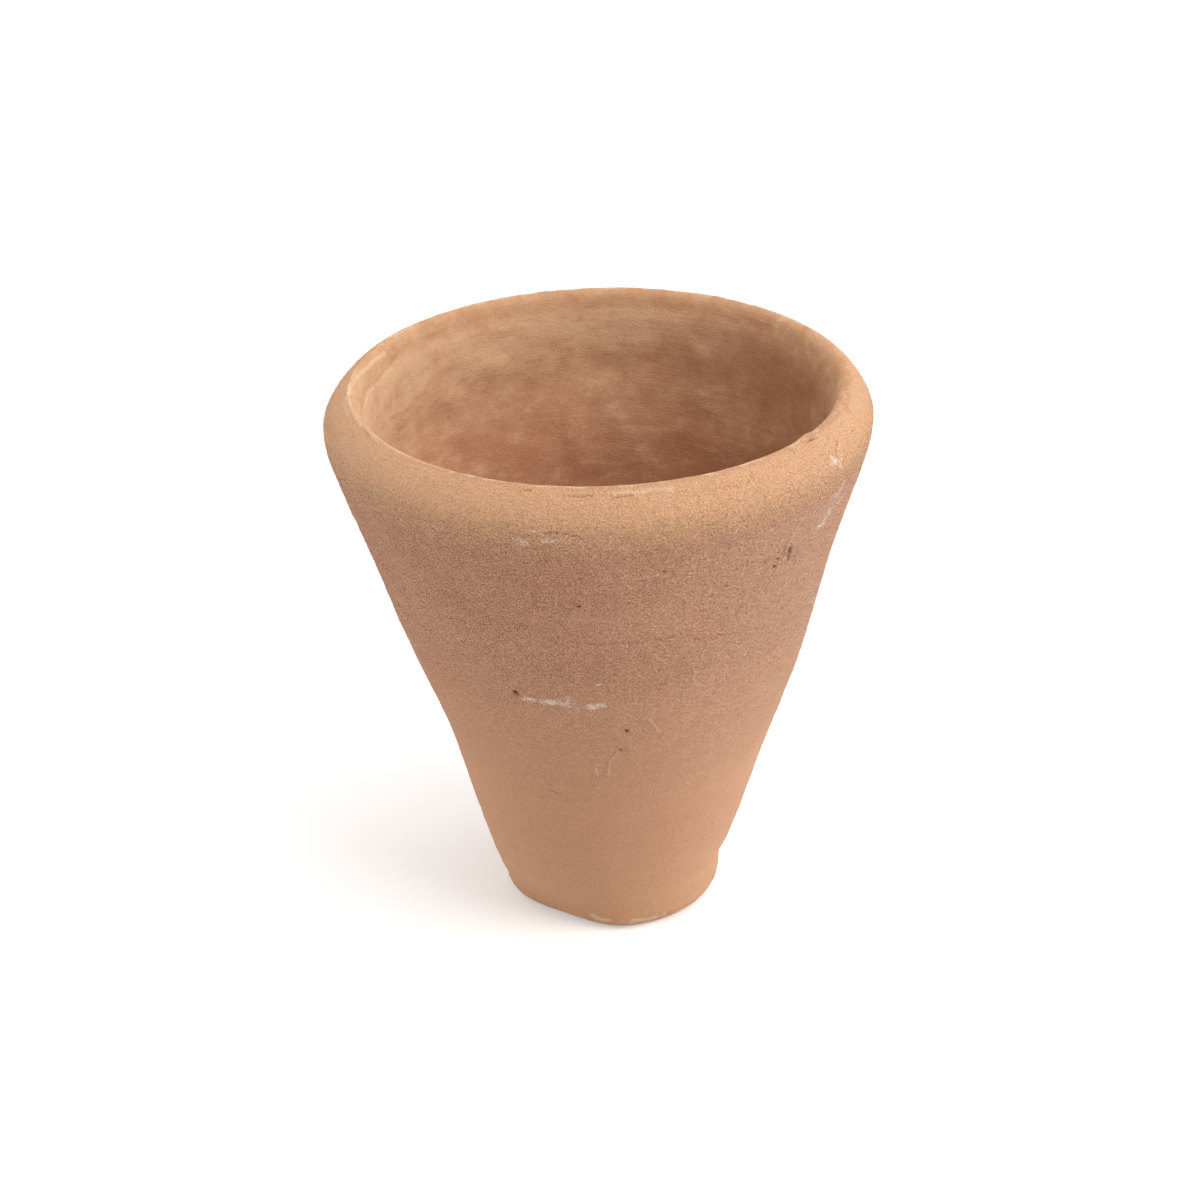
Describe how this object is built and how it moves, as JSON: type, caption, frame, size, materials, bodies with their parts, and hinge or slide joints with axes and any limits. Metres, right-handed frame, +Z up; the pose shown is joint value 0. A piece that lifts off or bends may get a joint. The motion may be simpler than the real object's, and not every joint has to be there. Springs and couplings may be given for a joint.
{
  "type": "terracotta cone planter",
  "caption": "Hand-thrown terracotta cone pot for a seedling, with a tapered wall, rolled rim, bevelled mouth, narrow rounded foot and a drain hole.",
  "frame": {"origin": "middle of the flat resting face under the foot, on the surface that the pot stands on", "axes": "+Z up along the pot's axis to the mouth, +X to the right and +Y away from the viewer of the picture"},
  "size_m": [0.0712, 0.0698, 0.0762],
  "materials": {
    "terracotta": "unglazed fired clay, matt and sandy, with lime bloom and a worn rim"
  },
  "bodies": {
    "root": {"pot": "terracotta"}
  },
  "joints": []
}
